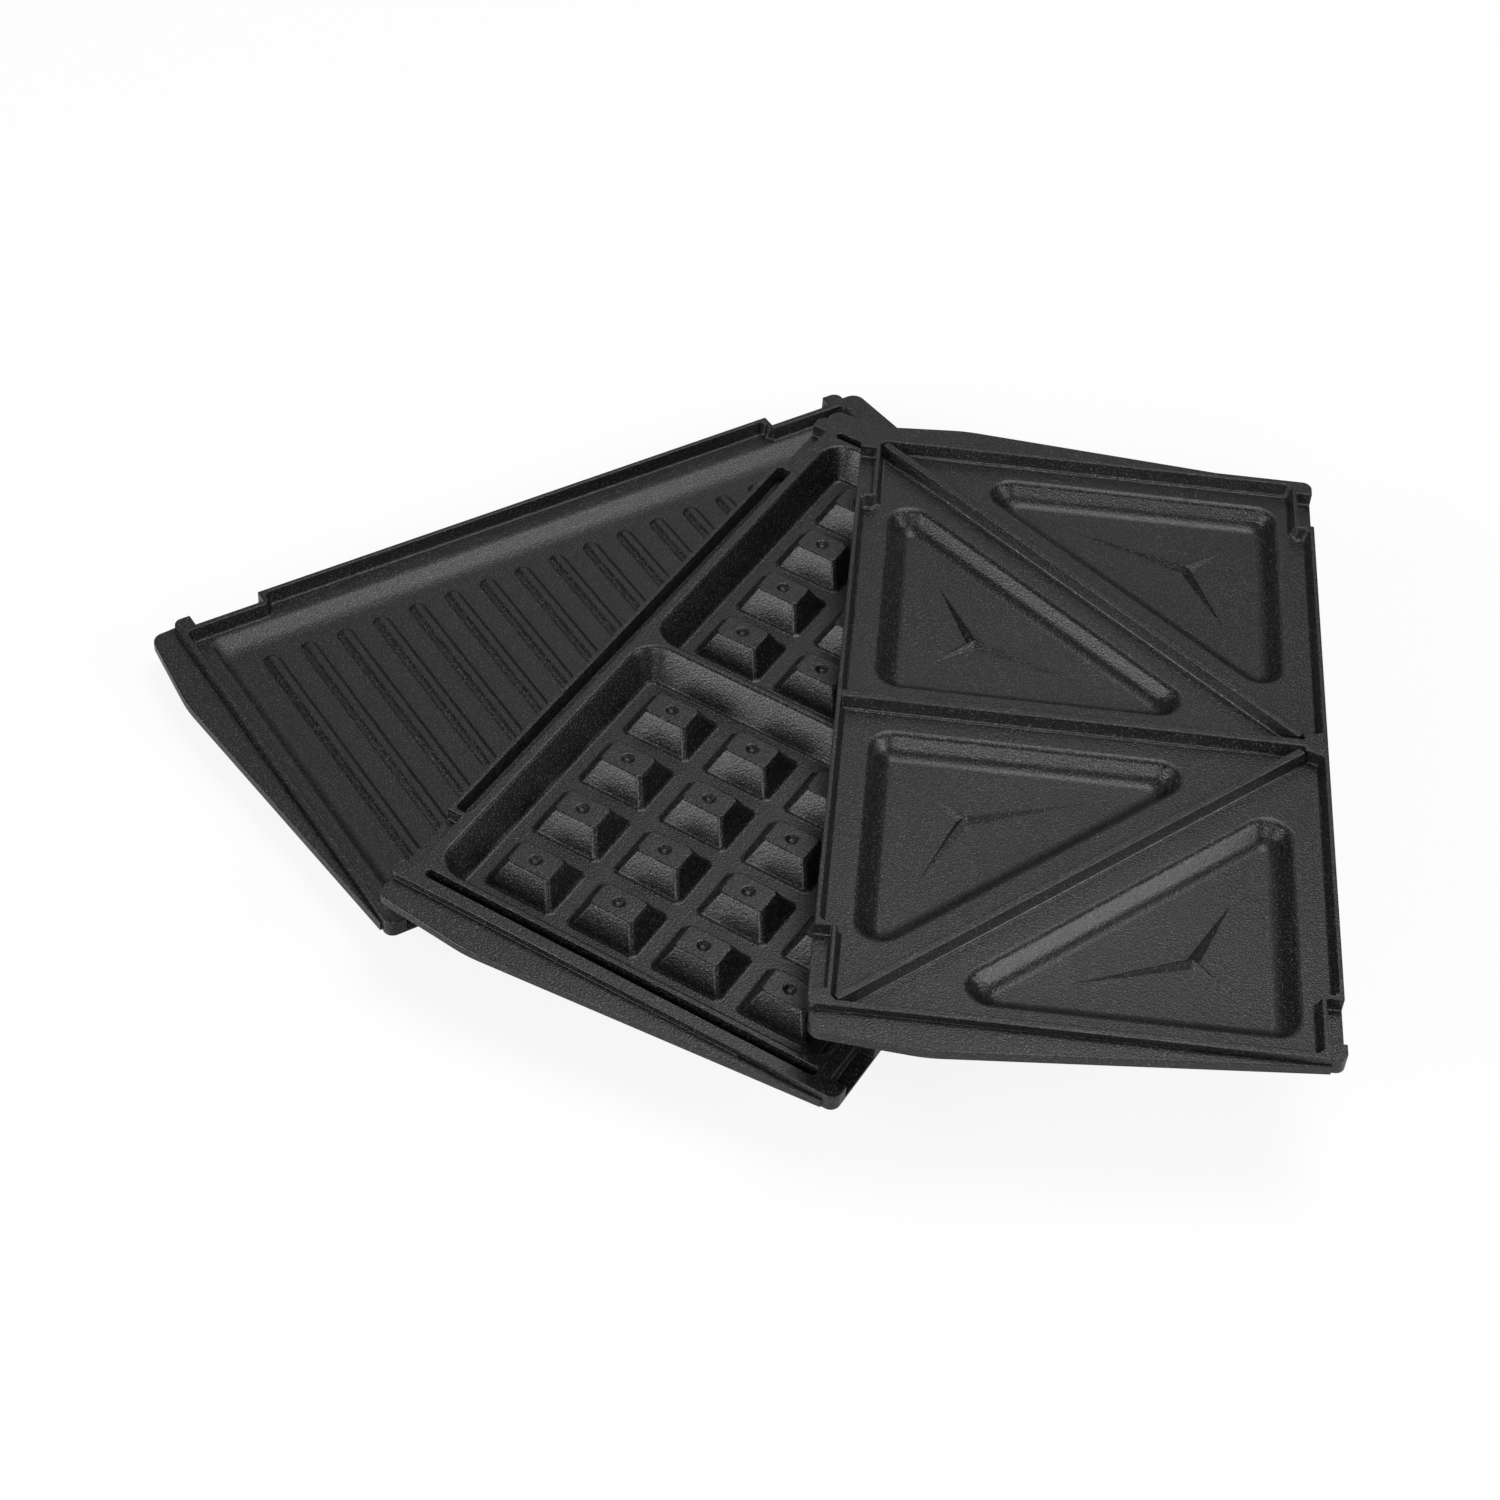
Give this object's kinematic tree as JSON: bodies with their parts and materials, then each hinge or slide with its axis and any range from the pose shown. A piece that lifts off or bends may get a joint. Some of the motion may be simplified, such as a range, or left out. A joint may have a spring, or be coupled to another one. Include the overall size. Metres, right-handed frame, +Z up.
{
  "type": "set of interchangeable sandwich maker plates",
  "caption": "Fan of interchangeable cast cooking plates for a sandwich maker: ribbed grill, waffle with square studs, and triangular toasted sandwich.",
  "frame": {"origin": "centre of the base of the whole fan, on the surface that the grill plate lies on", "axes": "+Z up, +Y away from the viewer along the sandwich plate, +X to the right across it"},
  "size_m": [0.3188, 0.2878, 0.0415],
  "materials": {
    "coating": "die-cast aluminium under a dark, fine-grained non-stick coating"
  },
  "bodies": {
    "grill": {"grill_plate": "coating"},
    "waffle": {"waffle_plate": "coating"},
    "sandwich": {"sandwich_plate": "coating"}
  },
  "joints": [
    {"name": "waffle_lift", "type": "slide", "parent": "grill", "child": "waffle", "axis": [0, 0, 1], "range_m": [0, 0.06]},
    {"name": "sandwich_lift", "type": "slide", "parent": "waffle", "child": "sandwich", "axis": [0, 0, 1], "range_m": [0, 0.06]}
  ]
}
